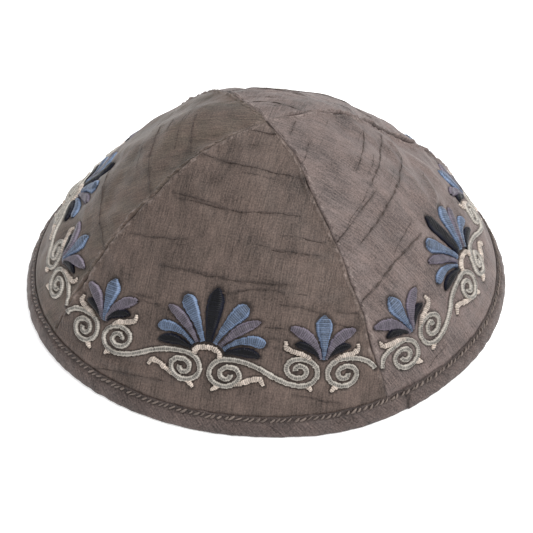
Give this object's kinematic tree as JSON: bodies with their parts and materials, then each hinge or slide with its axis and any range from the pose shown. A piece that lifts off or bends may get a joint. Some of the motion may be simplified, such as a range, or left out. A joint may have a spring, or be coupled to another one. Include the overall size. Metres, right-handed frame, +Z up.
{
  "type": "skullcap",
  "caption": "Round cloth skullcap of four pointed panels with a bound rim and an embroidered border of palmettes and running scrolls",
  "frame": {"origin": "middle of the rim, on the surface that the cap rests on", "axes": "+Z up through the crown, -Y towards the middle of the front panel, +X to the middle of the right panel"},
  "size_m": [0.1796, 0.1796, 0.072],
  "materials": {
    "panel_cloth": "slubby raw silk, matt with a faint sheen along the weft",
    "binding_cloth": "the same raw silk cut on the bias and folded over the rim",
    "petal_thread": "glossy satin stitch in navy, blue and grey mauve",
    "scroll_thread": "satin stitch in grey beige, with leaves and tails in cream",
    "pale_thread": "cream satin stitch"
  },
  "bodies": {
    "root": {"rim_binding": "binding_cloth", "panel_front": "panel_cloth", "palmette_front": "petal_thread", "arch_front": "pale_thread", "sprig_front_left": "petal_thread", "wave_scroll_front_left": "scroll_thread", "end_scroll_front_left": "scroll_thread", "sprig_front_right": "petal_thread", "wave_scroll_front_right": "scroll_thread", "end_scroll_front_right": "scroll_thread", "panel_right": "panel_cloth", "palmette_right": "petal_thread", "arch_right": "pale_thread", "sprig_right_left": "petal_thread", "wave_scroll_right_left": "scroll_thread", "end_scroll_right_left": "scroll_thread", "sprig_right_right": "petal_thread", "wave_scroll_right_right": "scroll_thread", "end_scroll_right_right": "scroll_thread", "panel_back": "panel_cloth", "palmette_back": "petal_thread", "arch_back": "pale_thread", "sprig_back_left": "petal_thread", "wave_scroll_back_left": "scroll_thread", "end_scroll_back_left": "scroll_thread", "sprig_back_right": "petal_thread", "wave_scroll_back_right": "scroll_thread", "end_scroll_back_right": "scroll_thread", "panel_left": "panel_cloth", "palmette_left": "petal_thread", "arch_left": "pale_thread", "sprig_left_left": "petal_thread", "wave_scroll_left_left": "scroll_thread", "end_scroll_left_left": "scroll_thread", "sprig_left_right": "petal_thread", "wave_scroll_left_right": "scroll_thread", "end_scroll_left_right": "scroll_thread"}
  },
  "joints": []
}
